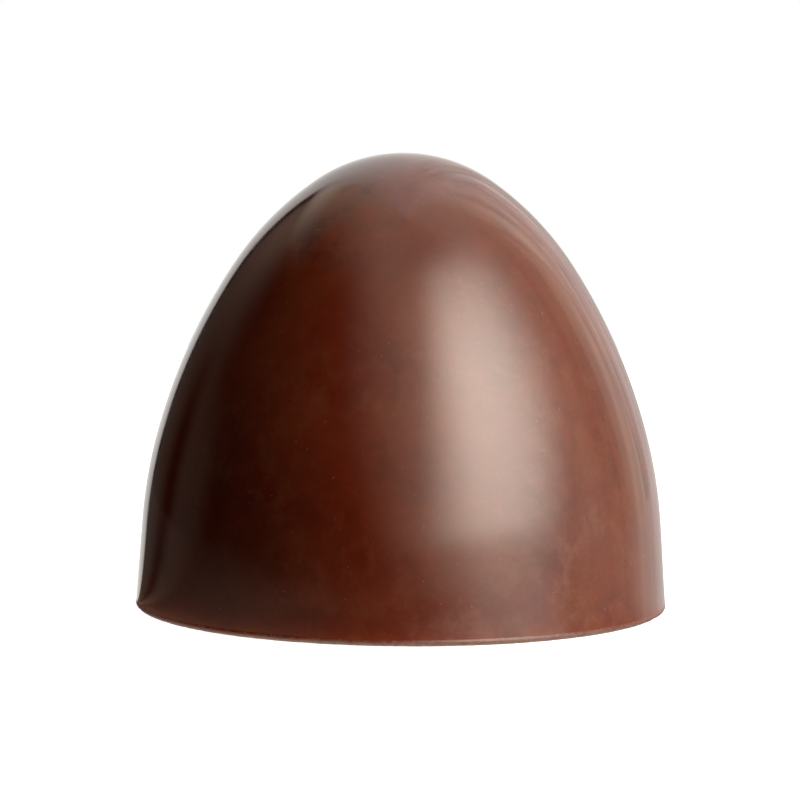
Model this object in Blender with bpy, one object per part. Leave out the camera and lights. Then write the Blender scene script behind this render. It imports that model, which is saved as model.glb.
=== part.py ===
"""A moulded chocolate praline: one tall dome of glossy chocolate, scraped flat across its underside.

The dome is a turned form. Its outline is a chain of arcs, each running on from the last: a blunt nose,
a shoulder, a long flank, a soft knee and a nearly upright skirt. Round the flat underside the mould's
mouth has left a fine lip, and the scraper has left a small edge that is rounded and a little broken.

The origin is the middle of the underside, and +Z points up to the top of the dome. Units are metres.
"""

import math
import random

import bmesh
import bpy

# Driving dimensions
BASE_RADIUS = 0.014
HEIGHT = 0.024

# The outline's arcs from the top down: radius in metres, turn in degrees, and straight steps in each.
DOME_ARCS = {
    "nose": (0.0082, 34.9, 8),
    "shoulder": (0.0163, 21.8, 5),
    "flank": (0.0306, 18.9, 5),
    "knee": (0.0250, 10.3, 4),
    "skirt": (0.2900, 0.9, 2),
}

# The lip at the mould's mouth, and the scraped edge below it
LIP_REACH = 0.000045
LIP_HEIGHT = 0.00022
LIP_TOP = 0.00046
EDGE_INSET = 0.00030
EDGE_STEPS = 3

# Wear of the scraped edge: a slow wander, and small chips
WANDER = 0.000025
WANDER_WAVES = (5, 9, 14)
CHIP_COUNT = 22
CHIP_DEPTHS = (0.00004, 0.00013)
CHIP_WIDTHS = (0.0008, 0.0018)
CHIP_SEED = 7

SEGMENTS = 120
UNDERSIDE_RINGS = (0.70, 0.36)
MERGE_DISTANCE = 0.000001
SHARP_ANGLE = math.radians(35)

# Finish of the chocolate
CHOCOLATE_COLOUR = (0.130, 0.045, 0.026, 1.0)
CHOCOLATE_ROUGHNESS = 0.22


def clear_scene():
    for old in list(bpy.data.objects):
        bpy.data.objects.remove(old, do_unlink=True)


def chain_of_arcs():
    """The arcs laid end to end from the top of the dome, as (radius, drop below the top)."""
    heading = 0.0
    radius, drop = 0.0, 0.0
    line = [(radius, drop)]
    for arc_radius, turn, steps in DOME_ARCS.values():
        start, start_radius, start_drop = heading, radius, drop
        for step in range(1, steps + 1):
            heading = start + math.radians(turn) * step / steps
            radius = start_radius + arc_radius * (math.sin(heading) - math.sin(start))
            drop = start_drop + arc_radius * (math.cos(start) - math.cos(heading))
            line.append((radius, drop))
    return line


def dome_outline():
    """The moulded side, from the top to just above the lip, as (radius, height).

    The chain is eased by less than a percent, so that it ends at the base radius and the height.
    """
    line = chain_of_arcs()
    end_radius, end_drop = line[-1]
    skirt_radius = BASE_RADIUS - LIP_REACH
    eased = [
        (radius * skirt_radius / end_radius, HEIGHT * (1.0 - drop / end_drop))
        for radius, drop in line
    ]
    return [point for point in eased if point[1] > LIP_TOP]


def lip_and_edge_outline():
    """The lip, and the quarter round below it that ends at the flat underside."""
    line = [(BASE_RADIUS - LIP_REACH, LIP_TOP)]
    for step in range(EDGE_STEPS + 1):
        angle = math.pi / 2 * step / EDGE_STEPS
        radius = BASE_RADIUS - EDGE_INSET * (1.0 - math.cos(angle))
        height = LIP_HEIGHT * (1.0 - math.sin(angle))
        line.append((radius, height))
    return line


def underside_outline():
    rings = [(BASE_RADIUS * share, 0.0) for share in UNDERSIDE_RINGS]
    return rings + [(0.0, 0.0)]


def turned_body(outline):
    """The outline turned once about the Z axis, as a closed bmesh."""
    shape = bmesh.new()
    points = [shape.verts.new((radius, 0.0, height)) for radius, height in outline]
    edges = [shape.edges.new(pair) for pair in zip(points, points[1:])]
    bmesh.ops.spin(
        shape,
        geom=points + edges,
        cent=(0.0, 0.0, 0.0),
        axis=(0.0, 0.0, 1.0),
        angle=2.0 * math.pi,
        steps=SEGMENTS,
    )
    bmesh.ops.remove_doubles(shape, verts=shape.verts, dist=MERGE_DISTANCE)
    bmesh.ops.recalc_face_normals(shape, faces=shape.faces)
    return shape


def chips():
    """Where the scraper broke the edge: the angle, half width and depth of each chip."""
    draw = random.Random(CHIP_SEED)
    found = []
    for number in range(CHIP_COUNT):
        angle = 2.0 * math.pi * (number + draw.uniform(0.1, 0.9)) / CHIP_COUNT
        half_width = draw.uniform(*CHIP_WIDTHS) / 2.0 / BASE_RADIUS
        depth = draw.uniform(*CHIP_DEPTHS)
        found.append((angle, half_width, depth))
    return found


def edge_wear(angle, broken):
    """How far the scraped edge has gone back at this angle round the base."""
    wander = sum(math.sin(waves * angle + waves) for waves in WANDER_WAVES)
    worn = WANDER * (1.0 + wander / len(WANDER_WAVES))
    for chip_angle, half_width, depth in broken:
        away = abs((angle - chip_angle + math.pi) % (2.0 * math.pi) - math.pi)
        if away < half_width:
            worn = max(worn, depth * (1.0 - (away / half_width) ** 2))
    return worn


def wear_the_edge(shape):
    """Moves the scraped edge back towards the axis. The flat underside stays in its plane."""
    broken = chips()
    least_radius = BASE_RADIUS - 2.0 * EDGE_INSET
    for point in shape.verts:
        radius = math.hypot(point.co.x, point.co.y)
        if radius < least_radius or point.co.z >= LIP_HEIGHT:
            continue
        worn = edge_wear(math.atan2(point.co.y, point.co.x), broken)
        share = 1.0 - point.co.z / LIP_HEIGHT
        shrink = 1.0 - worn * share / radius
        point.co.x *= shrink
        point.co.y *= shrink


def chocolate():
    material = bpy.data.materials.new("chocolate")
    material.use_nodes = True
    shader = material.node_tree.nodes["Principled BSDF"]
    shader.inputs["Base Color"].default_value = CHOCOLATE_COLOUR
    shader.inputs["Roughness"].default_value = CHOCOLATE_ROUGHNESS
    shader.inputs["Metallic"].default_value = 0.0
    material.diffuse_color = CHOCOLATE_COLOUR
    return material


def praline():
    outline = dome_outline() + lip_and_edge_outline() + underside_outline()
    shape = turned_body(outline)
    wear_the_edge(shape)
    mesh = bpy.data.meshes.new("praline")
    shape.to_mesh(mesh)
    shape.free()
    mesh.materials.append(chocolate())
    mesh.shade_smooth()
    mesh.set_sharp_from_angle(angle=SHARP_ANGLE)
    body = bpy.data.objects.new("praline", mesh)
    bpy.context.scene.collection.objects.link(body)
    return body


clear_scene()
praline()
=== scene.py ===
# %% [markdown]
# A moulded chocolate praline.
# The real one is cast in a polished mould, which gives the tall dome its gloss, and it is scraped flat
# across the mould's mouth, which leaves a matt underside and a fine broken edge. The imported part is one
# plain solid. This script lays a finer skin over that solid, with the worn edge, a few crumbs and specks on
# the gloss.

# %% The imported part
import math

import bmesh
import bpy
from mathutils import Matrix, Vector


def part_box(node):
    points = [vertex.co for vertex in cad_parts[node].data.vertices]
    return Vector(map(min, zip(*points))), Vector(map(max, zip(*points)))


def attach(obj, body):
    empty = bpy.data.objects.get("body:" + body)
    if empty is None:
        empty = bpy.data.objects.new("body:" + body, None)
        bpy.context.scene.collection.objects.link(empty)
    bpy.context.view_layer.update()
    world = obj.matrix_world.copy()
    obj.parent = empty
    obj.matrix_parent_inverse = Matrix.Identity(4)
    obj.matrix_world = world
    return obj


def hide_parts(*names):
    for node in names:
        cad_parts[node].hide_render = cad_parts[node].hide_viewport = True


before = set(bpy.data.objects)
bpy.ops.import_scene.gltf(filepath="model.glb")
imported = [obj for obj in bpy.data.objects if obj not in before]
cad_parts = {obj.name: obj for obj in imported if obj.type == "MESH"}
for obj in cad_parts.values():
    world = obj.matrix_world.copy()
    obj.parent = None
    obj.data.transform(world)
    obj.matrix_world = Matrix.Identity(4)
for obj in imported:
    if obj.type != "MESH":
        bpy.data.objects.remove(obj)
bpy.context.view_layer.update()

MM = 0.001
node_low, node_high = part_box("praline")
BASE_RADIUS = (node_high.x - node_low.x) / 2
HEIGHT = node_high.z - node_low.z
print(f"the praline is {2 * BASE_RADIUS / MM:.2f} mm across and {HEIGHT / MM:.2f} mm high")

# %% [markdown]
# The camera.
# The photo was taken from a little above level with a long lens: the foot shows as a shallow bow, and the
# sides hardly converge. Lens and distance could be set by eye, but the outline gives the elevation and the
# size in the picture, so the lens is worked out from them. The half degree of roll is how the praline
# stands.

# %% Camera
PICTURE_WIDTH = 800
SENSOR = 36.0
CAMERA_DISTANCE = 0.300
CAMERA_ELEVATION = math.radians(6.39)
CAMERA_ROLL = math.radians(0.5)
PIXELS_PER_METRE = 18975
OBJECT_RIGHT_OF_MIDDLE = 2.5 / PIXELS_PER_METRE
OBJECT_ABOVE_MIDDLE = 19.8 / PIXELS_PER_METRE


def place_camera():
    data = bpy.data.cameras.new("camera")
    data.sensor_width = SENSOR
    data.lens = SENSOR * PIXELS_PER_METRE * CAMERA_DISTANCE / PICTURE_WIDTH
    data.clip_start, data.clip_end = 0.01, 10.0
    camera = bpy.data.objects.new("camera", data)
    bpy.context.scene.collection.objects.link(camera)
    middle = Vector((0.0, 0.0, HEIGHT / 2))
    back = Vector((0.0, -math.cos(CAMERA_ELEVATION), math.sin(CAMERA_ELEVATION)))
    camera.location = middle + back * CAMERA_DISTANCE
    aim = middle - Vector((OBJECT_RIGHT_OF_MIDDLE, 0.0, OBJECT_ABOVE_MIDDLE))
    look = (aim - camera.location).to_track_quat("-Z", "Y").to_matrix()
    camera.rotation_euler = (look @ Matrix.Rotation(CAMERA_ROLL, 3, "Z")).to_euler()
    bpy.context.scene.camera = camera
    return camera


camera = place_camera()
print(f"the lens is {camera.data.lens:.1f} mm at {CAMERA_DISTANCE} m")

# %% [markdown]
# Helpers for node trees.
# Every finish and every generated shape below is a tree of nodes. Each node could be written out in full,
# but the trees would then hide what they are for. So small helpers add a node with its settings, join
# values into it, add and multiply, let a value fade in along another one, and mix two colours, values or
# shaders.

# %% Node helpers


def add_node(tree, kind, values=None, **settings):
    """A node of this kind. Each entry of values is a number or colour to set, or a socket to link."""
    node = tree.nodes.new(kind)
    for name, setting in settings.items():
        setattr(node, name, setting)
    for name, value in (values or {}).items():
        put(tree, value, node.inputs[name])
    return node


def put(tree, value, socket):
    """Links a socket, or sets a plain value."""
    if isinstance(value, bpy.types.NodeSocket):
        tree.links.new(value, socket)
    else:
        socket.default_value = value


def sum_node(tree, operation, first, second=0.0, third=0.0):
    node = tree.nodes.new("ShaderNodeMath")
    node.operation = operation
    for socket, value in zip(node.inputs, (first, second, third)):
        put(tree, value, socket)
    return node.outputs[0]


def fade(tree, value, start, end, low=0.0, high=1.0):
    """Goes smoothly from low at start to high at end. Start is the smaller of the two."""
    node = tree.nodes.new("ShaderNodeMapRange")
    node.interpolation_type = "SMOOTHSTEP"
    settings = {"Value": value, "From Min": start, "From Max": end, "To Min": low, "To Max": high}
    for name, setting in settings.items():
        put(tree, setting, node.inputs[name])
    return node.outputs["Result"]


def hump(tree, value, start, full, leave, end):
    """Rises from 0 at start to 1 at full, and falls from 1 at leave to 0 at end."""
    return product(tree, fade(tree, value, start, full), fade(tree, value, leave, end, 1, 0))


def product(tree, *values):
    total = values[0]
    for value in values[1:]:
        total = sum_node(tree, "MULTIPLY", total, value)
    return total


def added(tree, *values):
    total = values[0]
    for value in values[1:]:
        total = sum_node(tree, "ADD", total, value)
    return total


def less(tree, value, taken):
    return sum_node(tree, "SUBTRACT", value, taken)


def greater(tree, first, second):
    return sum_node(tree, "MAXIMUM", first, second)


def mixed_colour(tree, amount, first, second):
    node = add_node(tree, "ShaderNodeMix", data_type="RGBA")
    put(tree, amount, node.inputs["Factor"])
    put(tree, first, node.inputs[6])
    put(tree, second, node.inputs[7])
    return node.outputs[2]


def mixed_value(tree, amount, first, second):
    node = add_node(tree, "ShaderNodeMix", data_type="FLOAT")
    put(tree, amount, node.inputs["Factor"])
    put(tree, first, node.inputs[2])
    put(tree, second, node.inputs[3])
    return node.outputs[0]


def added_shader(tree, first, second):
    node = add_node(tree, "ShaderNodeAddShader")
    tree.links.new(first.outputs[0], node.inputs[0])
    tree.links.new(second.outputs[0], node.inputs[1])
    return node


def mixed_shader(tree, amount, first, second):
    node = add_node(tree, "ShaderNodeMixShader", {0: amount})
    tree.links.new(first.outputs[0], node.inputs[1])
    tree.links.new(second.outputs[0], node.inputs[2])
    return node


# %% [markdown]
# The soft box.
# On a gloss this dark nearly everything that shows is the room, and here that is one large soft box at the
# front right, in a white tent with a dark opening at the front left. Lamps and panels could make it, but
# their edges would be hard. So the world itself is painted by direction, in degrees round from the camera
# and up from the level, and each edge can be as soft as it looks on the dome. The soft box comes first.

# %% Soft box
KEY_STRENGTH = 9.4
KEY_TINT = (1.0, 0.935, 0.825, 1.0)


def soft_box(tree, azimuth, elevation):
    """The main light, brightest at its middle height, with a weak foot that ends below table height."""
    near_side = fade(tree, elevation, -6, 9, 6, 5)
    far_side = fade(tree, elevation, 0, 34, 84, 101)
    across = hump(tree, azimuth, near_side, 41, 45, far_side)
    foot = fade(tree, elevation, -3.2, 0.5, 0.0, 0.46)
    low_edge = greater(tree, fade(tree, elevation, -3.5, 8.0), foot)
    up = product(tree, low_edge, fade(tree, elevation, 36, 74, 1, 0))
    hot_middle = fade(tree, elevation, -8, 31, 0.62, 1.0)
    return product(tree, across, up, hot_middle, KEY_STRENGTH)


print(f"the soft box is {KEY_STRENGTH} times as bright as the page")

# %% [markdown]
# The tent.
# The cloth round the praline shows as the bright rims of the dome, and its opening as the deep shadow side.
# In the right rim the photo shows folds, creases and seams. A real sheet could be modelled and hung round
# the praline, but noise that is stretched upright gives the same streaks, and it can be tuned angle by
# angle.

# %% Tent
TENT_STRENGTH = 1.06
TENT_TINT = (1.0, 0.94, 0.76, 1.0)
BACK_TINT = (1.0, 0.965, 0.92, 1.0)
OPENING_TINT = (1.0, 0.80, 0.62, 1.0)


def tent_opening(tree, azimuth, elevation):
    """1 on the cloth and 0 in the opening at the front left, whose far edge is sharp below the top."""
    high = fade(tree, elevation, 27, 46)
    far_end = added(tree, -156.0, product(tree, high, -19.0))
    far_start = added(tree, -154.0, product(tree, high, 62.0))
    behind = fade(tree, azimuth, far_end, far_start, 1, 0)
    near_start = less(tree, -18.0, product(tree, elevation, 0.44))
    lean = product(tree, elevation, elevation, 0.006)
    right = fade(tree, added(tree, azimuth, lean), near_start, 20)
    return greater(tree, behind, right)


def cloth_noise(tree, along, up, layer, **settings):
    """Noise for an upright cloth, which changes fast along it and slowly upwards."""
    place = add_node(tree, "ShaderNodeCombineXYZ", {"X": along, "Y": up, "Z": layer})
    values = {"Vector": place.outputs[0], "Scale": 1.0} | settings
    return add_node(tree, "ShaderNodeTexNoise", values).outputs["Fac"]


def folds(tree, azimuth, elevation):
    """Upright folds in the cloth at the right and behind, which run out towards the top."""
    along, up = product(tree, azimuth, 0.20), product(tree, elevation, 0.020)
    swing = less(tree, cloth_noise(tree, along, up, 0.0, Detail=2.5, Distortion=0.35), 0.5)
    depth = product(tree, fade(tree, azimuth, 95, 122), fade(tree, elevation, 42, 68, 1, 0), 1.5)
    depth = product(tree, depth, fade(tree, azimuth, 168, 179, 1, 0.2))
    return added(tree, product(tree, depth, swing), 1.0)


def creases(tree, azimuth, elevation):
    """Thin dark creases between the folds at the far right."""
    along, up = product(tree, azimuth, 0.80), product(tree, elevation, 0.034)
    swing = less(tree, cloth_noise(tree, along, up, 4.0, Detail=2.0, Distortion=0.6), 0.5)
    thin = fade(tree, sum_node(tree, "ABSOLUTE", swing), 0.0, 0.05, 1, 0)
    where = hump(tree, azimuth, 128, 142, 168, 176)
    where = product(tree, where, fade(tree, elevation, 48, 62, 1, 0))
    return less(tree, 1.0, product(tree, thin, where, 0.46))


def dark_line(tree, distance, half_width, strength):
    """A thin dark line where the distance is nought."""
    off = sum_node(tree, "ABSOLUTE", distance)
    return fade(tree, off, 0.0, half_width, less(tree, 1.0, strength), 1.0)


def seams(tree, azimuth, elevation):
    """Seams of the cloth: one leans inward as it climbs, one stands upright, and one crosses behind them."""
    leaning = added(tree, less(tree, azimuth, 143.0), product(tree, elevation, 0.42))
    upright = less(tree, azimuth, 151.5)
    crossing = less(tree, elevation, 59.5)
    behind = product(tree, fade(tree, azimuth, 112, 128, 0.0, 0.16), fade(tree, azimuth, 150, 170, 1, 0))
    first = dark_line(tree, leaning, 1.6, product(tree, fade(tree, elevation, 44, 56, 1, 0), 0.30))
    second = dark_line(tree, upright, 1.4, product(tree, fade(tree, elevation, 44, 60, 1, 0), 0.30))
    third = dark_line(tree, crossing, 1.4, behind)
    return product(tree, first, second, third)


def cloth_level(tree, azimuth, elevation):
    """How bright the cloth is: more above, at the far right and by the soft box, and less low down."""
    climb = added(tree, fade(tree, azimuth, -100, -40, 0.65, 0.15), fade(tree, azimuth, 30, 110, 0.0, 0.5))
    level = added(tree, 1.0, product(tree, climb, fade(tree, elevation, 5, 65)))
    far_right = hump(tree, azimuth, 114, 138, 140, 180)
    far_top = fade(tree, elevation, 56, 84, 0.72, 0.15)
    level = added(tree, level, product(tree, far_right, fade(tree, elevation, -20, 32), far_top))
    gap = product(tree, hump(tree, azimuth, 92, 112, 116, 132), -0.28)
    level = added(tree, level, product(tree, gap, fade(tree, elevation, 52, 64, 1, 0)))
    spill = product(tree, hump(tree, azimuth, -10, 10, 85, 120), 0.55)
    level = added(tree, level, product(tree, spill, fade(tree, elevation, 50, 70, 1, 0)))
    level = product(tree, level, folds(tree, azimuth, elevation), seams(tree, azimuth, elevation))
    level = product(tree, level, creases(tree, azimuth, elevation))
    low_front = hump(tree, azimuth, -25, -5, 20, 40)
    low_front = product(tree, low_front, fade(tree, elevation, -3, 6, 0.6, 0.0))
    low_back = hump(tree, azimuth, 150, 166, 168, 179)
    low_back = product(tree, low_back, fade(tree, elevation, 0, 30, 0.24, 0.06))
    return product(tree, level, less(tree, 1.0, low_front), less(tree, 1.0, low_back))


def faint_bands(tree, azimuth):
    """Two faint upright bands in the dark of the opening."""
    band = product(tree, hump(tree, azimuth, -128, -116, -108, -90), 0.11)
    beside = product(tree, hump(tree, azimuth, -153, -150, -142, -128), 0.07)
    return added(tree, band, beside)


def tent(tree, azimuth, elevation):
    """The white cloth, and the little light that shows in its opening."""
    glow = product(tree, hump(tree, azimuth, -153, -147, -140, -103), 0.46)
    glow = product(tree, glow, fade(tree, elevation, 6, 40), fade(tree, elevation, 35, 50, 1, 0))
    bands = product(tree, faint_bands(tree, azimuth), fade(tree, elevation, 6, 24, 1, 0))
    overhead = fade(tree, elevation, 48, 88, 0.0, 1.2)
    level = cloth_level(tree, azimuth, elevation)
    cloth = mixed_value(tree, tent_opening(tree, azimuth, elevation), overhead, level)
    return product(tree, added(tree, cloth, added(tree, glow, bands)), TENT_STRENGTH)


def tent_tint(tree, azimuth, elevation):
    """Warm cloth, nearly white behind the praline, and brown in the opening."""
    at_back = fade(tree, sum_node(tree, "ABSOLUTE", azimuth), 122, 154)
    in_opening = hump(tree, azimuth, -150, -146, -95, -70)
    in_opening = product(tree, in_opening, fade(tree, elevation, 44, 70, 1, 0))
    tint = mixed_colour(tree, at_back, TENT_TINT, BACK_TINT)
    return mixed_colour(tree, in_opening, tint, OPENING_TINT)


print(f"the soft box is {KEY_STRENGTH / TENT_STRENGTH:.1f} times as bright as the tent")

# %% [markdown]
# The matt light and the world.
# Gloss and brown are lit apart. With the mirrored room alone the brown below the gloss would be the same on
# every side, but in the photo it is red at the right and nearly black at the left. So rays that leave the
# matt layer see a narrow lamp at the right and a weak fill, and mirrored rays see the room painted above.
# The camera sees a plain white page. All three belong to one world, which asks each ray for its kind.

# %% World
MATT_KEY_STRENGTH = 21.0
MATT_TINT = (1.0, 0.98, 0.96, 1.0)
PAGE_WHITE = 1.0
WHITE = (1.0, 1.0, 1.0, 1.0)
bpy.context.scene.view_settings.view_transform = "Standard"


def matt_light(tree, azimuth, elevation):
    """What lights the brown below the gloss: a narrow lamp, and a weak fill from above, behind and left."""
    turned = sum_node(tree, "ABSOLUTE", azimuth)
    back = product(tree, fade(tree, turned, 130, 165), fade(tree, elevation, 20, 55, 1, 0), 0.9)
    fill = added(tree, back, fade(tree, elevation, 30, 80, 0.05, 0.30))
    left = product(tree, hump(tree, azimuth, -150, -120, -75, -40), 0.26)
    fill = added(tree, fill, product(tree, left, fade(tree, elevation, 20, 60, 1, 0)))
    lamp = product(tree, hump(tree, azimuth, 38, 60, 64, 90), MATT_KEY_STRENGTH)
    lamp = product(tree, lamp, fade(tree, elevation, -8, 1), fade(tree, elevation, 40, 76, 1, 0))
    return added(tree, lamp, fill)


def direction_angles(tree, x, y, z):
    """Degrees round from the camera, positive to the right, and degrees up from the level."""
    azimuth = sum_node(tree, "DEGREES", sum_node(tree, "ARCTAN2", x, product(tree, y, -1.0)))
    elevation = sum_node(tree, "DEGREES", sum_node(tree, "ARCSINE", z))
    return azimuth, elevation


def background(tree, tint, strength):
    return add_node(tree, "ShaderNodeBackground", {"Color": tint, "Strength": strength})


def light_the_studio():
    world = bpy.data.worlds.new("studio")
    bpy.context.scene.world = world
    world.use_nodes = True
    tree = world.node_tree
    tree.nodes.clear()
    direction = add_node(tree, "ShaderNodeTexCoord").outputs["Generated"]
    x, y, z = add_node(tree, "ShaderNodeSeparateXYZ", {"Vector": direction}).outputs
    azimuth, elevation = direction_angles(tree, x, y, z)
    rays = add_node(tree, "ShaderNodeLightPath")
    matt = background(tree, MATT_TINT, matt_light(tree, azimuth, elevation))
    cloth = background(tree, tent_tint(tree, azimuth, elevation), tent(tree, azimuth, elevation))
    lamp = background(tree, KEY_TINT, soft_box(tree, azimuth, elevation))
    page = background(tree, WHITE, PAGE_WHITE)
    mirrored = added_shader(tree, cloth, lamp)
    room = mixed_shader(tree, rays.outputs["Is Glossy Ray"], matt, mirrored)
    seen = mixed_shader(tree, rays.outputs["Is Camera Ray"], room, page)
    out = add_node(tree, "ShaderNodeOutputWorld")
    tree.links.new(seen.outputs[0], out.inputs["Surface"])


light_the_studio()
print("the world has", len(bpy.context.scene.world.node_tree.nodes), "nodes")

# %% [markdown]
# The table.
# The photo's ground is pure white. A lit sheet of white acrylic gives that look: it glows by itself, so
# shadows on it stay faint, and it is polished, so near the foot the dome mirrors what the sheet mirrors. In
# that mirror the sheet is partly real polish, which grows towards the right, and partly painted reflection:
# a glow painted by direction, dim and brown at the front left, bright at the right and behind. A plain white
# plane would need far more light than the chocolate can take. The camera sees the full glow.
# The chocolate gets a weak one that is stronger close to the foot, where it lights the scraped edge from
# below.

# %% Table
TABLE_RADIUS = 0.13
TABLE_GREY = (0.35, 0.35, 0.35, 1.0)
TABLE_GLOW = 0.95
TABLE_BOUNCE = 0.26
FOOT_BOUNCE = 4.2
FOOT_REACH = 1.0 * MM
BOUNCE_TINT = (1.0, 0.93, 0.86, 1.0)
# The two tints below colour the painted reflection in the sheet.
PAINTED_DIM_TINT = (1.0, 0.80, 0.60, 1.0)
PAINTED_BRIGHT_TINT = (1.0, 0.96, 0.90, 1.0)
POLISHED_GREY = (0.05, 0.05, 0.05, 1.0)
DARK_GREY = (0.02, 0.02, 0.02, 1.0)


def emission(tree, tint, strength):
    return add_node(tree, "ShaderNodeEmission", {"Color": tint, "Strength": strength})


def polish_and_painted_reflection(tree, place, away):
    """The mirrored sheet: a painted reflection, bright at the right and dim at the left, polished in front.
    """
    x, y, z = add_node(tree, "ShaderNodeSeparateXYZ", {"Vector": place}).outputs
    toward = product(tree, y, -1.0)
    azimuth = sum_node(tree, "DEGREES", sum_node(tree, "ARCTAN2", x, toward))
    from_left = sum_node(tree, "ARCTAN2", added(tree, x, BASE_RADIUS), toward)
    from_left = sum_node(tree, "DEGREES", from_left)
    front_left = hump(tree, azimuth, -110, -42, -35, 0)
    front_left = product(tree, front_left, fade(tree, away, 0.0, TABLE_RADIUS, 0.45, 0.06))
    front_left = added(tree, front_left, faint_bands(tree, from_left))
    right = product(tree, hump(tree, azimuth, 55, 105, 162, 178), 0.35)
    behind = greater(tree, fade(tree, azimuth, -170, -158, 1, 0), fade(tree, azimuth, 162, 178))
    behind = greater(tree, behind, fade(tree, from_left, -156, -153, 1, 0))
    behind = product(tree, behind, 0.95)
    # The dim and bright glows are painted reflection, standing for the room and the lit sheet as the dome
    # mirrors them.
    dim = emission(tree, PAINTED_DIM_TINT, front_left)
    bright = emission(tree, PAINTED_BRIGHT_TINT, added(tree, right, behind))
    polish = add_node(tree, "ShaderNodeBsdfPrincipled", {
        "Base Color": POLISHED_GREY, "Roughness": 0.12, "IOR": 1.5,
    })
    dull = add_node(tree, "ShaderNodeBsdfDiffuse", {"Color": DARK_GREY})
    shine = added(tree, fade(tree, azimuth, 4, 60, 0.0, 0.82), fade(tree, azimuth, 60, 105, 0.0, 0.15))
    return added_shader(tree, mixed_shader(tree, shine, dull, polish), added_shader(tree, dim, bright))


def white_sheet():
    material = bpy.data.materials.new("white acrylic sheet")
    material.use_nodes = True
    tree = material.node_tree
    tree.nodes.clear()
    place = add_node(tree, "ShaderNodeTexCoord").outputs["Object"]
    away = add_node(tree, "ShaderNodeVectorMath", {0: place}, operation="LENGTH").outputs["Value"]
    matt = add_node(tree, "ShaderNodeBsdfDiffuse", {"Color": TABLE_GREY})
    seen = added_shader(tree, matt, emission(tree, WHITE, TABLE_GLOW))
    near = fade(tree, away, BASE_RADIUS, BASE_RADIUS + FOOT_REACH, FOOT_BOUNCE, TABLE_BOUNCE)
    bounce = emission(tree, BOUNCE_TINT, near)
    rays = add_node(tree, "ShaderNodeLightPath")
    unseen = mixed_shader(tree, rays.outputs["Is Glossy Ray"], bounce, polish_and_painted_reflection(tree, place, away))
    both = mixed_shader(tree, rays.outputs["Is Camera Ray"], unseen, seen)
    out = add_node(tree, "ShaderNodeOutputMaterial")
    tree.links.new(both.outputs[0], out.inputs["Surface"])
    return material


def lay_table():
    shape = bmesh.new()
    bmesh.ops.create_circle(shape, cap_ends=True, segments=128, radius=TABLE_RADIUS)
    mesh = bpy.data.meshes.new("table")
    shape.to_mesh(mesh)
    shape.free()
    mesh.materials.append(white_sheet())
    table = bpy.data.objects.new("table", mesh)
    bpy.context.scene.collection.objects.link(table)


lay_table()
print(f"the sheet is {2 * TABLE_RADIUS} m across")

# %% [markdown]
# The outline.
# The dome is a turned form, so half of its section says everything. It could be drawn as a curve by hand,
# but a chain of arcs, each going on from the last one in the same direction, has no dent that a gloss would
# show: nose, shoulder, flank, knee and skirt. The same arcs make the solid, with fewer steps. The lip at
# the mould's mouth is lower than the solid's and spread softly up the skirt, because a sharp one mirrors as
# a pale band.

# %% Outline of the dome
DOME_ARCS = {
    "nose": (8.2 * MM, 34.9, 16),
    "shoulder": (16.3 * MM, 21.8, 12),
    "flank": (30.6 * MM, 18.9, 16),
    "knee": (25.0 * MM, 10.3, 16),
    "skirt": (290.0 * MM, 0.9, 48),
}
LIP_REACH = 0.018 * MM
LIP_HEIGHT = 0.22 * MM
LIP_TOP = 2.30 * MM
LIP_EASE = 2.6
ABOVE_LIP = 0.02 * MM
EDGE_INSET = 0.30 * MM
EDGE_STEPS = 8
UNDERSIDE_RINGS = 36


def lip_reach(height):
    """How far the lip stands out from the skirt at this height."""
    share = min(max((LIP_TOP - height) / (LIP_TOP - LIP_HEIGHT), 0.0), 1.0)
    return LIP_REACH * share ** LIP_EASE


def dome_line():
    """From the top of the dome down over the lip, as (radius, height)."""
    heading, radius, drop = 0.0, 0.0, 0.0
    line = [(radius, drop)]
    for arc_radius, turn, steps in DOME_ARCS.values():
        start, start_radius, start_drop = heading, radius, drop
        for step in range(1, steps + 1):
            heading = start + math.radians(turn) * step / steps
            radius = start_radius + arc_radius * (math.sin(heading) - math.sin(start))
            drop = start_drop + arc_radius * (math.cos(start) - math.cos(heading))
            line.append((radius, drop))
    widen = (BASE_RADIUS - LIP_REACH) / radius
    heighten = HEIGHT / drop
    eased = [(r * widen, HEIGHT - d * heighten) for r, d in line]
    return [(r + lip_reach(z), z) for r, z in eased if z > LIP_HEIGHT + ABOVE_LIP]


def foot_line():
    """The rounded edge below the lip, and the underside in to its middle."""
    line = []
    for step in range(EDGE_STEPS + 1):
        angle = math.pi / 2 * step / EDGE_STEPS
        line.append((BASE_RADIUS - EDGE_INSET * (1 - math.cos(angle)), LIP_HEIGHT * (1 - math.sin(angle))))
    inner = BASE_RADIUS - EDGE_INSET
    line += [(inner * (1 - ring / UNDERSIDE_RINGS), 0.0) for ring in range(1, UNDERSIDE_RINGS + 1)]
    return line


outline = dome_line() + foot_line()
print(f"the outline has {len(outline)} points, from {outline[0][1] / MM:.1f} mm high down to the underside")

# %% [markdown]
# The turned body.
# A lathe could be Blender's Spin or Screw. Geometry Nodes do it in one tree that can be tuned afterwards:
# the outline is swept round a very small ring, the two poles are welded, and then the scraped edge is worn
# back by noise and the underside gets its scraper marks. All wear goes inward, so the body stays in the
# solid's box.

# %% Lathe tree
RING = 1.0 * MM
WELD = 0.001 * MM


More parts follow.
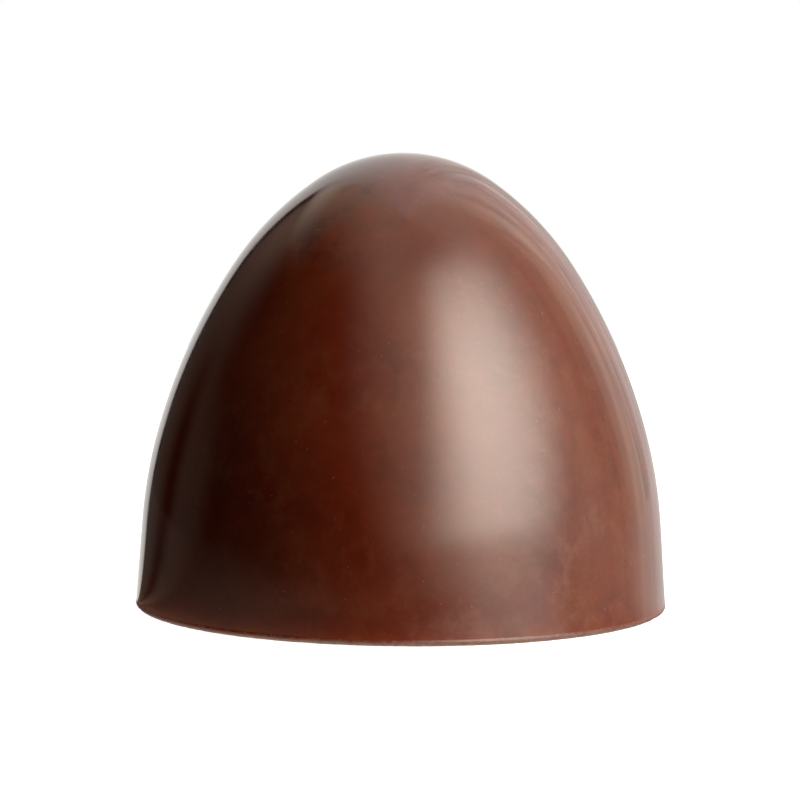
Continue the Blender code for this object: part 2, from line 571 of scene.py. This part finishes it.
def new_tree(name, inputs):
    """An empty Geometry Nodes tree with these named inputs, with the nodes of its inputs and outputs."""
    tree = bpy.data.node_groups.new(name, "GeometryNodeTree")
    tree.interface.new_socket(name="Geometry", in_out="INPUT", socket_type="NodeSocketGeometry")
    for label, kind in inputs.items():
        tree.interface.new_socket(name=label, in_out="INPUT", socket_type=kind)
    tree.interface.new_socket(name="Geometry", in_out="OUTPUT", socket_type="NodeSocketGeometry")
    return tree, add_node(tree, "NodeGroupInput"), add_node(tree, "NodeGroupOutput")


def noise_at(tree, vector, size, seed, detail=2.0, roughness=0.5):
    """Noise from 0 to 1 with features of about this size, in metres."""
    scale = 1.0 / size if isinstance(size, float) else sum_node(tree, "DIVIDE", 1.0, size)
    node = add_node(tree, "ShaderNodeTexNoise", {
        "Vector": vector, "W": seed, "Scale": scale, "Detail": detail, "Roughness": roughness,
    }, noise_dimensions="4D")
    return node.outputs[0]


def lathe_tree():
    tree, given, result = new_tree("turned body", {
        "Segments": "NodeSocketInt",
        "Ring": "NodeSocketFloat",
        "Weld": "NodeSocketFloat",
        "Base radius": "NodeSocketFloat",
        "Edge height": "NodeSocketFloat",
        "Chip depth": "NodeSocketFloat",
        "Chip size": "NodeSocketFloat",
        "Scrape depth": "NodeSocketFloat",
        "Wave depth": "NodeSocketFloat",
        "Seed": "NodeSocketFloat",
        "Material": "NodeSocketMaterial",
    })
    get = given.outputs
    line = add_node(tree, "GeometryNodeMeshToCurve", {"Mesh": get["Geometry"]})
    ring = add_node(tree, "GeometryNodeCurvePrimitiveCircle", {
        "Resolution": get["Segments"], "Radius": get["Ring"],
    })
    swept = add_node(tree, "GeometryNodeCurveToMesh", {
        "Curve": ring.outputs["Curve"], "Profile Curve": line.outputs["Curve"],
    })
    welded = add_node(tree, "GeometryNodeMergeByDistance", {
        "Geometry": swept.outputs[0], "Distance": get["Weld"],
    })
    worn = add_node(tree, "GeometryNodeSetPosition", {
        "Geometry": welded.outputs[0], "Offset": edge_wear(tree, get),
    })
    scraped = add_node(tree, "GeometryNodeSetPosition", {
        "Geometry": worn.outputs[0], "Offset": scraper_marks(tree, get),
    })
    waved = add_node(tree, "GeometryNodeSetPosition", {
        "Geometry": scraped.outputs[0], "Offset": skin_waves(tree, get),
    })
    smooth = add_node(tree, "GeometryNodeSetShadeSmooth", {"Geometry": waved.outputs[0]})
    real = add_node(tree, "GeometryNodeRealizeInstances", {"Geometry": smooth.outputs[0]})
    dressed = add_node(tree, "GeometryNodeSetMaterial", {
        "Geometry": real.outputs[0], "Material": get["Material"],
    })
    tree.links.new(dressed.outputs[0], result.inputs["Geometry"])
    return tree


def place_of(tree):
    """This point's position, its distance from the axis, its height, and the way out from the axis."""
    position = add_node(tree, "GeometryNodeInputPosition").outputs[0]
    x, y, z = add_node(tree, "ShaderNodeSeparateXYZ", {"Vector": position}).outputs
    flat = add_node(tree, "ShaderNodeCombineXYZ", {"X": x, "Y": y}).outputs[0]
    length = add_node(tree, "ShaderNodeVectorMath", operation="LENGTH")
    tree.links.new(flat, length.inputs[0])
    outward = add_node(tree, "ShaderNodeVectorMath", operation="NORMALIZE")
    tree.links.new(flat, outward.inputs[0])
    return position, length.outputs["Value"], z, outward.outputs[0]


def scaled(tree, vector, amount):
    node = add_node(tree, "ShaderNodeVectorMath", {"Scale": amount}, operation="SCALE")
    tree.links.new(vector, node.inputs[0])
    return node.outputs[0]


def edge_wear(tree, get):
    """Small chips along the scraped edge, deepest at the underside and gone at the top of the lip."""
    position, radius, height, outward = place_of(tree)
    seed = get["Seed"]
    share_up = sum_node(tree, "DIVIDE", height, get["Edge height"])
    low = fade(tree, share_up, 0.1, 1.0, 1, 0)
    rim = fade(tree, sum_node(tree, "DIVIDE", radius, get["Base radius"]), 0.955, 0.97)
    coarse = noise_at(tree, position, product(tree, get["Chip size"], 3.0), seed)
    coarse = product(tree, fade(tree, coarse, 0.50, 0.78), 0.75)
    fine = noise_at(tree, position, get["Chip size"], seed, 3.0)
    fine = product(tree, fade(tree, fine, 0.42, 0.72), 0.35)
    amount = added(tree, coarse, fine)
    depth = product(tree, amount, get["Chip depth"], low, rim, -1.0)
    return scaled(tree, outward, depth)


def scraper_marks(tree, get):
    """Fine straight grooves across the underside, where the scraper was drawn over it along X."""
    position, radius, height, outward = place_of(tree)
    under = fade(tree, height, 0.0, 0.01 * MM, 1, 0)
    inside = fade(tree, sum_node(tree, "DIVIDE", radius, get["Base radius"]), 0.93, 0.965, 1, 0)
    drawn = add_node(tree, "ShaderNodeVectorMath", {1: (0.06, 1.0, 1.0)}, operation="MULTIPLY")
    tree.links.new(position, drawn.inputs[0])
    grooves = noise_at(tree, drawn.outputs[0], 0.5 * MM, get["Seed"], 3.0, 0.6)
    lift = product(tree, fade(tree, grooves, 0.45, 0.8), get["Scrape depth"], under, inside)
    return add_node(tree, "ShaderNodeCombineXYZ", {"Z": lift}).outputs[0]


def skin_waves(tree, get):
    """The very slow waves of a cast skin, which bend the edges of its reflections."""
    position, radius, height, outward = place_of(tree)
    normal = add_node(tree, "GeometryNodeInputNormal").outputs[0]
    above = fade(tree, height, 0.5 * MM, 2.0 * MM)
    slow = noise_at(tree, position, 4.0 * MM, get["Seed"], 1.0)
    return scaled(tree, normal, product(tree, slow, above, get["Wave depth"], -1.0))


turned_body = lathe_tree()
print(f"the lathe tree has {len(turned_body.nodes)} nodes")

# %% [markdown]
# The chocolate.
# Moulded chocolate is nearly black-brown under a clear, tight gloss; what makes it look lighter is the room
# in that gloss. A photo texture would hold the room too, so the finish is built from noise instead: a deep
# brown with slow clouds, reddish spots and dark blots, places where the gloss is duller, a very fine grain,
# and a paler matt break where the scraper has cut. That zone is found by height, so it follows the foot all
# round.

# %% Chocolate
DEEP_BROWN = (0.068, 0.0084, 0.0028, 1.0)
LIT_BROWN = (0.084, 0.0140, 0.0040, 1.0)
CLOUDED_BROWN = (0.098, 0.0250, 0.0105, 1.0)
RED_BROWN = (0.108, 0.0125, 0.0036, 1.0)
DARK_BROWN = (0.042, 0.0062, 0.0022, 1.0)
SCRAPED_BROWN = (0.060, 0.028, 0.017, 1.0)
SCRAPED_TAN = (0.100, 0.060, 0.040, 1.0)
GLOSS = 0.085
DULL_GLOSS = 0.15
SCRAPED_GLOSS = 0.92
CHOCOLATE_IOR = 1.5
GRAIN_DEPTH = 0.0012 * MM
TOP_CLOUDS = (-3.4 * MM, -5.0 * MM, 20.9 * MM)
LOW_CLOUDS = (10.0 * MM, -9.6 * MM, 3.2 * MM)


def around(tree, place, middle, reach):
    """1 at this point of the dome, and 0 beyond this reach from it."""
    away = add_node(tree, "ShaderNodeVectorMath", {0: place, 1: middle}, operation="DISTANCE")
    return fade(tree, away.outputs["Value"], 0.3 * reach, reach, 1, 0)


def patchy(tree, place, size, seed, low, high, detail=3.0, roughness=0.6):
    """Noise with features of about this size, drawn out so that it is 0 up to low and 1 from high."""
    return fade(tree, noise_at(tree, place, size, seed, detail, roughness), low, high)


def cloudiness(tree, place):
    """How cloudy the skin is: a little here and there, and most low down at the right."""
    region = product(tree, patchy(tree, place, 8.0 * MM, 5.0, 0.42, 0.60, 1.0, 0.5), 0.6)
    region = greater(tree, region, around(tree, place, LOW_CLOUDS, 7.0 * MM))
    return product(tree, patchy(tree, place, 1.1 * MM, 8.0, 0.42, 0.70), region)


def skin_colour(tree, place, clouds, mottle):
    """The moulded skin: two browns in slow waves, with clouds, reddish spots, dark blots and mottling."""
    waves = patchy(tree, place, 5.0 * MM, 3.0, 0.35, 0.65, 2.0, 0.5)
    spots = patchy(tree, place, 0.8 * MM, 9.0, 0.50, 0.66)
    blots = patchy(tree, place, 1.4 * MM, 12.0, 0.48, 0.60, 4.0)
    patch = product(tree, patchy(tree, place, 6.0 * MM, 14.0, 0.50, 0.58, 1.0, 0.5), 0.35)
    patch = greater(tree, patch, around(tree, place, TOP_CLOUDS, 5.0 * MM))
    skin = mixed_colour(tree, waves, DEEP_BROWN, LIT_BROWN)
    skin = mixed_colour(tree, product(tree, clouds, 0.8), skin, CLOUDED_BROWN)
    skin = mixed_colour(tree, product(tree, spots, fade(tree, patch, 0.3, 1.0, 0.25, 1.0)), skin, RED_BROWN)
    skin = mixed_colour(tree, product(tree, blots, patch, 0.90), skin, DARK_BROWN)
    return mixed_colour(tree, fade(tree, mottle, 0.35, 0.70, 0.26, 0.0), skin, DARK_BROWN)


def scraped_share(tree, place):
    """1 where the scraper has cut and 0 on the moulded skin, with a ragged border between them."""
    height = add_node(tree, "ShaderNodeSeparateXYZ", {"Vector": place}).outputs["Z"]
    ragged = product(tree, less(tree, noise_at(tree, place, 0.3 * MM, 2.0, 4.0, 0.6), 0.5), 0.4 * MM)
    return fade(tree, added(tree, height, ragged), 0.06 * MM, 0.38 * MM, 1, 0)


def chocolate():
    material = bpy.data.materials.new("chocolate")
    material.use_nodes = True
    tree = material.node_tree
    shader = tree.nodes["Principled BSDF"]
    place = add_node(tree, "ShaderNodeTexCoord").outputs["Object"]
    grain = noise_at(tree, place, 0.10 * MM, 1.0, 2.0, 0.6)
    mottle = noise_at(tree, place, 0.32 * MM, 7.0, 4.0, 0.7)
    clouds = cloudiness(tree, place)
    cut = scraped_share(tree, place)
    skin = skin_colour(tree, place, clouds, mottle)
    scraped = mixed_colour(tree, fade(tree, grain, 0.45, 0.70), SCRAPED_BROWN, SCRAPED_TAN)
    put(tree, mixed_colour(tree, cut, skin, scraped), shader.inputs["Base Color"])
    gloss = mixed_value(tree, clouds, GLOSS, DULL_GLOSS)
    gloss = added(tree, gloss, fade(tree, mottle, 0.35, 0.65, -0.012, 0.022))
    put(tree, mixed_value(tree, cut, gloss, SCRAPED_GLOSS), shader.inputs["Roughness"])
    shader.inputs["IOR"].default_value = CHOCOLATE_IOR
    bump = add_node(tree, "ShaderNodeBump", {"Height": grain, "Distance": GRAIN_DEPTH, "Strength": 1.0})
    put(tree, bump.outputs["Normal"], shader.inputs["Normal"])
    return material


chocolate_finish = chocolate()
print("the roughness runs from", GLOSS, "to", DULL_GLOSS, "and is", SCRAPED_GLOSS, "on the scraped edge")

# %% [markdown]
# Making the body.
# The tree works on a plain object that holds only the outline. Its inputs are set by their identifiers
# before it is first evaluated, and the result is kept as an ordinary mesh, with its place in its points.

# %% Body
BODY_SEGMENTS = 640
CUBIC_CENTIMETRE = 0.01 ** 3


def line_object(name, points, shift):
    """An object that is one line of points. X is the distance from the ring, and Y the depth below zero."""
    mesh = bpy.data.meshes.new(name)
    corners = [(radius - shift, -height, 0.0) for radius, height in points]
    mesh.from_pydata(corners, [(i, i + 1) for i in range(len(corners) - 1)], [])
    line = bpy.data.objects.new(name, mesh)
    bpy.context.scene.collection.objects.link(line)
    return line


def grow(base, tree, values, name):
    """Runs a Geometry Nodes tree on an object and returns its result as a plain mesh object."""
    modifier = base.modifiers.new(tree.name, "NODES")
    modifier.node_group = tree
    sockets = {item.name: item.identifier for item in tree.interface.items_tree if item.in_out == "INPUT"}
    for label, value in values.items():
        modifier[sockets[label]] = value
    evaluated = base.evaluated_get(bpy.context.evaluated_depsgraph_get())
    mesh = bpy.data.meshes.new_from_object(evaluated)
    mesh.name = name
    bpy.data.objects.remove(base, do_unlink=True)
    made = bpy.data.objects.new(name, mesh)
    bpy.context.scene.collection.objects.link(made)
    return made


def face_outward(piece):
    shape = bmesh.new()
    shape.from_mesh(piece.data)
    bmesh.ops.recalc_face_normals(shape, faces=shape.faces)
    volume = shape.calc_volume(signed=True)
    open_edges = sum(1 for edge in shape.edges if not edge.is_manifold)
    shape.to_mesh(piece.data)
    shape.free()
    return volume, open_edges


body = grow(line_object("outline", outline, RING), turned_body, {
    "Segments": BODY_SEGMENTS,
    "Ring": RING,
    "Weld": WELD,
    "Base radius": BASE_RADIUS,
    "Edge height": LIP_HEIGHT,
    "Chip depth": 0.16 * MM,
    "Chip size": 0.28 * MM,
    "Scrape depth": 0.035 * MM,
    "Wave depth": 0.008 * MM,
    "Seed": 4.0,
    "Material": chocolate_finish,
}, "praline_body")
volume, open_edges = face_outward(body)
triangles = sum(len(face.vertices) - 2 for face in body.data.polygons)
print(f"the body has {triangles} triangles and {open_edges} open edges")
print(f"it fills {volume / CUBIC_CENTIMETRE:.3f} cubic centimetres")
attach(body, "root")
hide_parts("praline")

# %% [markdown]
# Crumbs.
# Where the scraper broke the thin edge, small pale crumbs stay behind, in groups. Each could be placed by
# hand; a scatter round the edge does it better. The points start on a circle, are moved about at random,
# and are kept only where slow noise is high, so that they come in groups. Every crumb is a small dented
# lump.

# %% Crumbs
CRUMB_PLACES = 900
CRUMB_RING = BASE_RADIUS - 0.16 * MM
CRUMB_THINNING = 0.575


def random_value(tree, low, high, seed):
    node = add_node(tree, "FunctionNodeRandomValue", data_type="FLOAT")
    put(tree, low, node.inputs[2])
    put(tree, high, node.inputs[3])
    put(tree, seed, node.inputs["Seed"])
    return node.outputs[1]


def random_turn(tree, seed):
    node = add_node(tree, "FunctionNodeRandomValue", data_type="FLOAT_VECTOR")
    node.inputs[0].default_value = (0.0, 0.0, 0.0)
    node.inputs[1].default_value = (2 * math.pi, 2 * math.pi, 2 * math.pi)
    put(tree, seed, node.inputs["Seed"])
    return node.outputs[0]


def dented(tree, geometry, size, depth):
    """Moves every point by noise, so that no two lumps are alike."""
    position = add_node(tree, "GeometryNodeInputPosition").outputs[0]
    node = add_node(tree, "ShaderNodeTexNoise", {"Vector": position, "Detail": 1.0})
    put(tree, sum_node(tree, "DIVIDE", 1.0, size), node.inputs["Scale"])
    swing = add_node(tree, "ShaderNodeVectorMath", {
        0: node.outputs["Color"], 1: (0.5, 0.5, 0.5),
    }, operation="SUBTRACT")
    offset = scaled(tree, swing.outputs[0], depth)
    return add_node(tree, "GeometryNodeSetPosition", {"Geometry": geometry, "Offset": offset}).outputs[0]


def crumb_tree():
    tree, given, result = new_tree("crumbs on an edge", {
        "Places": "NodeSocketInt",
        "Radius": "NodeSocketFloat",
        "Height": "NodeSocketFloat",
        "Spread": "NodeSocketFloat",
        "Group size": "NodeSocketFloat",
        "Smallest": "NodeSocketFloat",
        "Largest": "NodeSocketFloat",
        "Seed": "NodeSocketInt",
        "Material": "NodeSocketMaterial",
    })
    get = given.outputs
    circle = add_node(tree, "GeometryNodeMeshCircle", {"Vertices": get["Places"], "Radius": get["Radius"]})
    points = add_node(tree, "GeometryNodeMeshToPoints", {"Mesh": circle.outputs["Mesh"]})
    out = random_value(tree, -1.0, 0.4, get["Seed"])
    up = random_value(tree, -1.0, 1.0, added(tree, get["Seed"], 1.0))
    position, radius, height, outward = place_of(tree)
    sideways = scaled(tree, outward, product(tree, out, get["Spread"]))
    lift = added(tree, get["Height"], product(tree, up, get["Spread"]))
    raised = add_node(tree, "ShaderNodeCombineXYZ", {"Z": lift})
    offset = add_node(tree, "ShaderNodeVectorMath", {0: sideways, 1: raised.outputs[0]}, operation="ADD")
    moved = add_node(tree, "GeometryNodeSetPosition", {
        "Geometry": points.outputs[0], "Offset": offset.outputs[0],
    })
    grouped = noise_at(tree, add_node(tree, "GeometryNodeInputPosition").outputs[0], get["Group size"], 11.0)
    thin = sum_node(tree, "LESS_THAN", grouped, CRUMB_THINNING)
    kept = add_node(tree, "GeometryNodeDeleteGeometry", {"Geometry": moved.outputs[0], "Selection": thin})
    lump = add_node(tree, "GeometryNodeMeshIcoSphere", {"Radius": 1.0, "Subdivisions": 2})
    size = random_value(tree, 0.0, 1.0, added(tree, get["Seed"], 2.0))
    size = mixed_value(tree, product(tree, size, size, size), get["Smallest"], get["Largest"])
    placed = add_node(tree, "GeometryNodeInstanceOnPoints", {
        "Points": kept.outputs[0],
        "Instance": lump.outputs["Mesh"],
        "Rotation": random_turn(tree, added(tree, get["Seed"], 3.0)),
        "Scale": size,
    })
    real = add_node(tree, "GeometryNodeRealizeInstances", {"Geometry": placed.outputs[0]})
    rough = dented(tree, real.outputs[0], get["Largest"], get["Smallest"])
    dressed = add_node(tree, "GeometryNodeSetMaterial", {"Geometry": rough, "Material": get["Material"]})
    tree.links.new(dressed.outputs[0], result.inputs["Geometry"])
    return tree


def pale(name, dark, light, size, roughness):
    material = bpy.data.materials.new(name)
    material.use_nodes = True
    tree = material.node_tree
    shader = tree.nodes["Principled BSDF"]
    place = add_node(tree, "ShaderNodeTexCoord").outputs["Object"]
    put(tree, mixed_colour(tree, noise_at(tree, place, size, 6.0), dark, light), shader.inputs["Base Color"])
    shader.inputs["Roughness"].default_value = roughness
    return material


def seed_object():
    mesh = bpy.data.meshes.new("seed")
    seed = bpy.data.objects.new("seed", mesh)
    bpy.context.scene.collection.objects.link(seed)
    return seed


crumb_finish = pale("crumb", (0.18, 0.10, 0.065, 1.0), (0.50, 0.38, 0.29, 1.0), 0.4 * MM, 0.75)
crumbs = grow(seed_object(), crumb_tree(), {
    "Places": CRUMB_PLACES,
    "Radius": CRUMB_RING,
    "Height": 0.13 * MM,
    "Spread": 0.060 * MM,
    "Group size": 2.2 * MM,
    "Smallest": 0.018 * MM,
    "Largest": 0.058 * MM,
    "Seed": 21,
    "Material": crumb_finish,
}, "edge_crumbs")
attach(crumbs, "root")
low_point = min(corner.co.z for corner in crumbs.data.vertices)
reach = max(math.hypot(corner.co.x, corner.co.y) for corner in crumbs.data.vertices)
print(f"the crumbs have {len(crumbs.data.polygons)} faces")
print(f"they lie from {low_point / MM:.3f} mm up and out to {reach / MM:.3f} mm")

# %% [markdown]
# Specks.
# The gloss carries tiny pale specks of dust and cocoa butter, a few hundredths of a millimetre wide.
# Painted specks would be flat in a close view, so these are very small flat grains, scattered over the
# dome's faces.

# %% Specks
SPECK_SHAPE = (1.0, 0.8, 0.35)
SPECK_FACES = 20


def speck_tree():
    tree, given, result = new_tree("specks on a skin", {
        "Density": "NodeSocketFloat",
        "Lowest": "NodeSocketFloat",
        "Highest": "NodeSocketFloat",
        "Smallest": "NodeSocketFloat",
        "Largest": "NodeSocketFloat",
        "Seed": "NodeSocketInt",
        "Material": "NodeSocketMaterial",
    })
    get = given.outputs
    height = add_node(tree, "ShaderNodeSeparateXYZ", {
        "Vector": add_node(tree, "GeometryNodeInputPosition").outputs[0],
    }).outputs["Z"]
    above = sum_node(tree, "GREATER_THAN", height, get["Lowest"])
    below = sum_node(tree, "LESS_THAN", height, get["Highest"])
    points = add_node(tree, "GeometryNodeDistributePointsOnFaces", {
        "Mesh": get["Geometry"],
        "Selection": product(tree, above, below),
        "Density": get["Density"],
        "Seed": get["Seed"],
    })
    grain = add_node(tree, "GeometryNodeMeshIcoSphere", {"Radius": 1.0, "Subdivisions": 1})
    flat = add_node(tree, "GeometryNodeTransform", {
        "Geometry": grain.outputs["Mesh"], "Scale": SPECK_SHAPE,
    })
    size = random_value(tree, 0.0, 1.0, added(tree, get["Seed"], 2.0))
    size = mixed_value(tree, product(tree, size, size, size), get["Smallest"], get["Largest"])
    placed = add_node(tree, "GeometryNodeInstanceOnPoints", {
        "Points": points.outputs["Points"],
        "Instance": flat.outputs[0],
        "Rotation": points.outputs["Rotation"],
        "Scale": size,
    })
    real = add_node(tree, "GeometryNodeRealizeInstances", {"Geometry": placed.outputs[0]})
    dressed = add_node(tree, "GeometryNodeSetMaterial", {
        "Geometry": real.outputs[0], "Material": get["Material"],
    })
    tree.links.new(dressed.outputs[0], result.inputs["Geometry"])
    return tree


speck_finish = pale("speck", (0.10, 0.045, 0.028, 1.0), (0.34, 0.25, 0.19, 1.0), 0.8 * MM, 0.45)
copy = bpy.data.objects.new("skin", body.data.copy())
bpy.context.scene.collection.objects.link(copy)
specks = grow(copy, speck_tree(), {
    "Density": 0.7 / MM ** 2,
    "Lowest": 1.2 * MM,
    "Highest": 23.6 * MM,
    "Smallest": 0.007 * MM,
    "Largest": 0.027 * MM,
    "Seed": 5,
    "Material": speck_finish,
}, "surface_specks")
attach(specks, "root")
print(f"there are {len(specks.data.polygons) // SPECK_FACES} specks")
